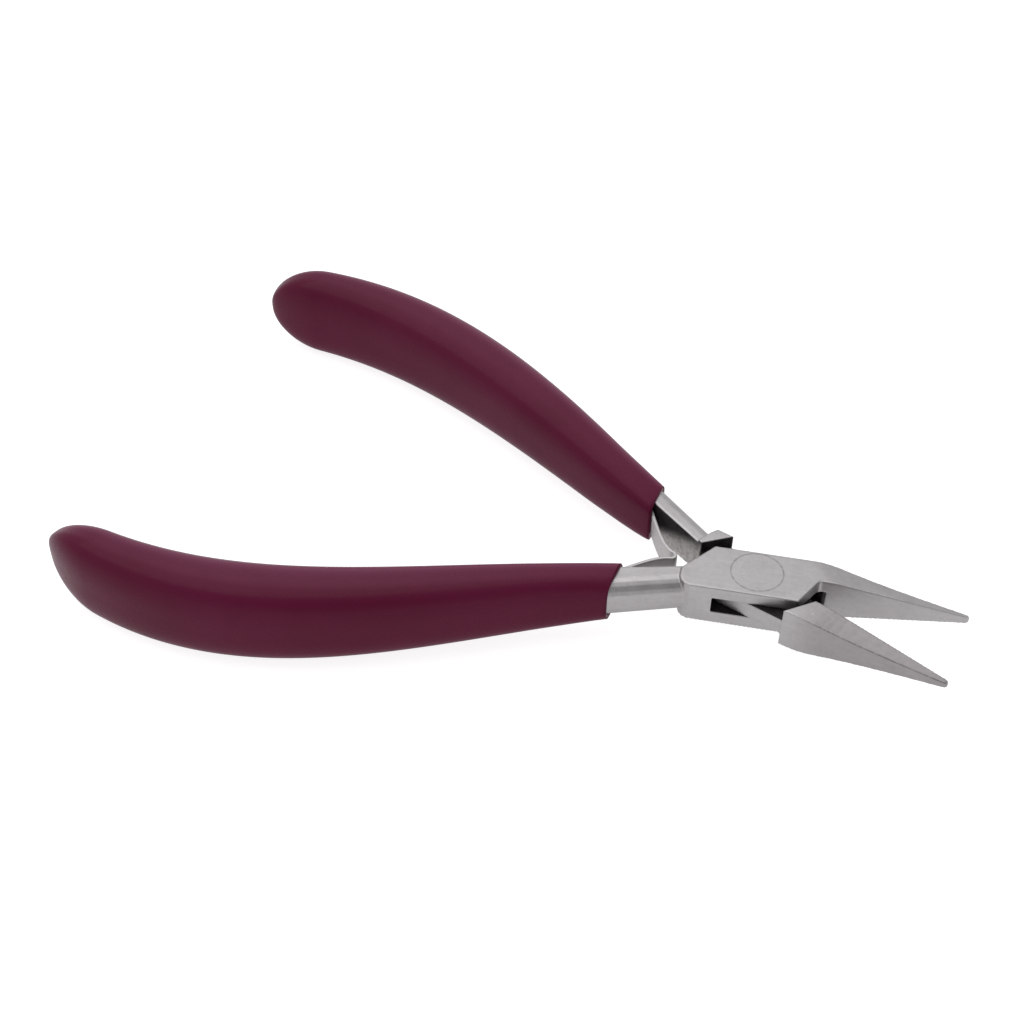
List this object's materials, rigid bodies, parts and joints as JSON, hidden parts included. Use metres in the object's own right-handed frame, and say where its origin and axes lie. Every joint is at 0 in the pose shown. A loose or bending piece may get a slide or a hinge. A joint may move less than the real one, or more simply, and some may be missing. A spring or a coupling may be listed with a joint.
{
  "type": "jewellery pliers",
  "caption": "Slim jewellery pliers with a box joint, smooth tapered jaws, cushioned sleeves on both handles and a leaf return spring that holds them open.",
  "frame": {"origin": "where the pivot axis meets the flat underside of the box joint", "axes": "+X from the pivot towards the jaw tips, +Z along the pivot, +Y towards the through lever's handle"},
  "size_m": [0.1304, 0.081, 0.0144],
  "materials": {
    "steel": "fine satin brushed, unpolished in the joint",
    "sleeve": "soft semi-gloss dipped vinyl, burgundy",
    "spring_steel": "smooth rolled strip"
  },
  "bodies": {
    "box_side": {"box_lever": "steel", "pivot_rivet": "steel", "box_grip": "sleeve", "return_spring": "spring_steel"},
    "through_side": {"through_lever": "steel", "through_grip": "sleeve"}
  },
  "joints": [
    {"name": "pivot", "type": "hinge", "parent": "box_side", "child": "through_side", "pos_m": [0, 0, 0], "axis": [0, 0, 1], "range_deg": [-6, 24.3], "stiffness_Nm_per_rad": 0.3, "deforming": ["return_spring"]}
  ]
}
